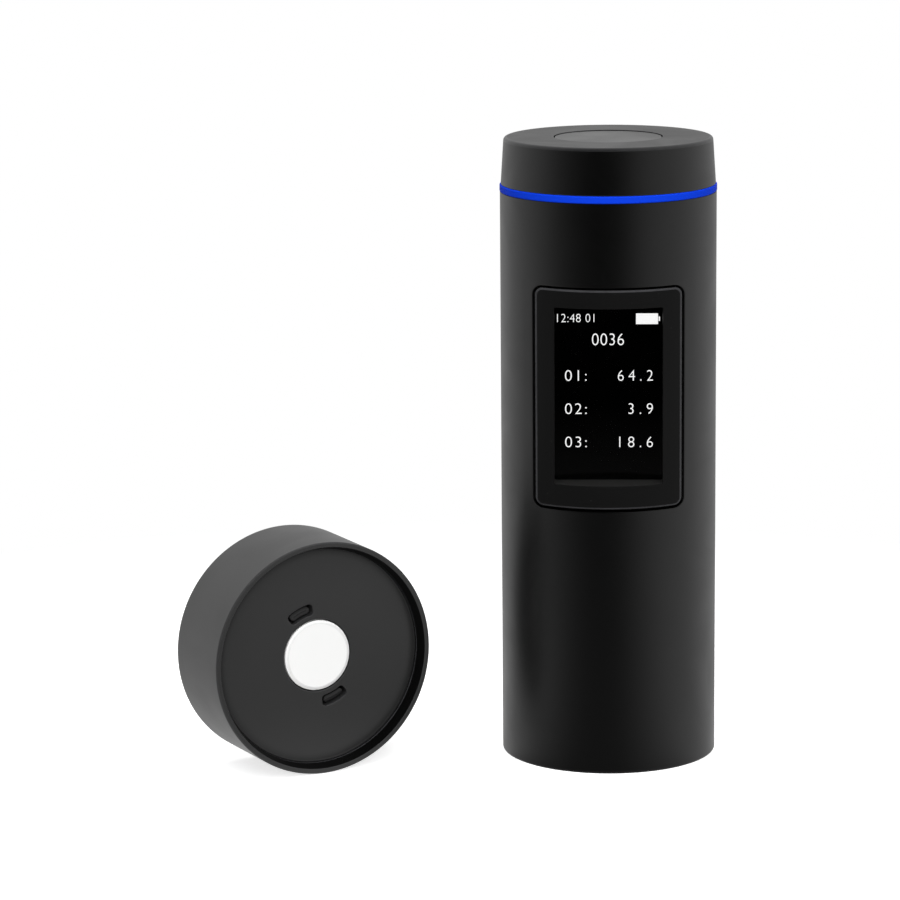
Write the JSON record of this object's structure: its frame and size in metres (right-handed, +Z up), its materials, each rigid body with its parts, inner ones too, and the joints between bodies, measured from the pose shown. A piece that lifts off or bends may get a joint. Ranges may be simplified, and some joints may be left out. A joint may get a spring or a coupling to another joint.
{
  "type": "pocket colorimeter",
  "caption": "Pocket colorimeter: a black cylinder with a top measuring button, portrait display and base aperture, its white-tile calibration cap standing beside it.",
  "frame": {"origin": "the middle of the box round the whole part, on the surface that instrument and cap stand on", "axes": "+Z up along the barrel, -Y the way the display faces, the calibration cap on the -X side"},
  "size_m": [0.0778, 0.0398, 0.0904],
  "materials": {
    "satin_black": "satin black, fine soft-touch grain",
    "accent_blue": "bright blue, half gloss",
    "top_black": "satin black",
    "button_black": "satin black, a little smoother than the cap round it",
    "bezel_black": "smooth black, half gloss",
    "cover_glass": "clear, polished",
    "screen": "black display with white figures",
    "inner_plastic": "moulded dark grey",
    "optics_black": "dead matt black",
    "circuit_board": "green solder resist",
    "chip": "matt black moulding",
    "connector": "cream moulded nylon",
    "flat_lead": "amber film",
    "cell": "silver pouch foil",
    "lead_red": "red silicone insulation",
    "lead_black": "black silicone insulation",
    "steel": "plain plated steel",
    "clear_glass": "clear, polished",
    "lamp": "clear epoxy lamp body",
    "rubber_seal": "soft black",
    "cap_black": "matt black, fine moulded grain",
    "white_tile": "even white reference surface",
    "foam": "closed-cell foam"
  },
  "bodies": {
    "instrument": {"barrel": "satin_black", "accent_ring": "accent_blue", "top_cap": "top_black", "switch_housing": "chip", "switch_board": "circuit_board", "switch_screw_1": "steel", "switch_screw_2": "steel", "switch_screw_3": "steel", "switch_connector": "connector", "switch_flex": "flat_lead", "display_bezel": "bezel_black", "display_glass": "cover_glass", "display_panel": "screen", "display_flex": "flat_lead", "display_connector": "connector", "chassis": "inner_plastic", "main_board": "circuit_board", "processor_chip": "chip", "board_screw_1": "steel", "board_screw_2": "steel", "board_screw_3": "steel", "board_screw_4": "steel", "battery": "cell", "battery_connector": "connector", "battery_lead_red": "lead_red", "battery_lead_black": "lead_black", "charge_board": "circuit_board", "charge_flex": "flat_lead", "charge_connector": "connector", "usb_receptacle": "steel", "sensor_board": "circuit_board", "sensor_chip": "chip", "sensor_lens": "clear_glass", "sensor_flex": "flat_lead", "sensor_connector": "connector", "optics_housing": "optics_black", "led_1": "lamp", "led_2": "lamp", "led_3": "lamp", "led_4": "lamp", "led_5": "lamp", "led_6": "lamp", "measuring_base": "inner_plastic", "aperture_window": "clear_glass", "base_seal": "rubber_seal", "base_screw_1": "steel", "base_screw_2": "steel", "base_screw_3": "steel"},
    "button": {"measure_button": "button_black", "switch_plunger": "connector"},
    "calibration_cap": {"cap_shell": "cap_black", "cap_face_plate": "cap_black", "white_tile": "white_tile", "tile_carrier": "inner_plastic", "tile_cushion": "foam"}
  },
  "joints": [
    {"name": "button_press", "type": "slide", "parent": "instrument", "child": "button", "axis": [0, 0, -1], "range_m": [0, 0.0005], "stiffness_N_per_m": 1500, "springref_m": -0.0004},
    {"name": "cap_lift", "type": "slide", "parent": "instrument", "child": "calibration_cap", "axis": [0, 0, 1], "range_m": [0, 0.11]}
  ]
}
